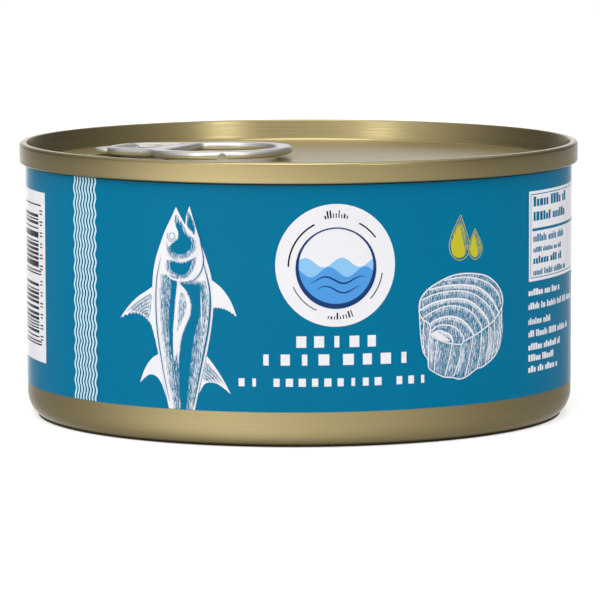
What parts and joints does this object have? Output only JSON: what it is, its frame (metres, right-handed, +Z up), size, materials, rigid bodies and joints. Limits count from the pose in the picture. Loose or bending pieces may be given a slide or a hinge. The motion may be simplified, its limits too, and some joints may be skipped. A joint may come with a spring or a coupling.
{
  "type": "tuna can",
  "caption": "Low, wide shut food can with a rounded drawn body, a double-seamed end with a ring-pull tab, and a printed wrap label.",
  "frame": {"origin": "centre of the base, on the surface the can stands on", "axes": "+Z up along the can's axis; the front of the label faces -Y; +X is to the right seen from the front"},
  "size_m": [0.087, 0.087, 0.0425],
  "materials": {
    "body_lacquer": "satin gold lacquer on drawn steel",
    "end_lacquer": "satin gold lacquer on stamped steel",
    "tab_steel": "bright tinplate, lightly rolled",
    "label_print": "varnished print on paper, teal with white drawings"
  },
  "bodies": {
    "root": {"can_body": "body_lacquer", "can_end": "end_lacquer", "ring_tab": "tab_steel", "label": "label_print"}
  },
  "joints": []
}
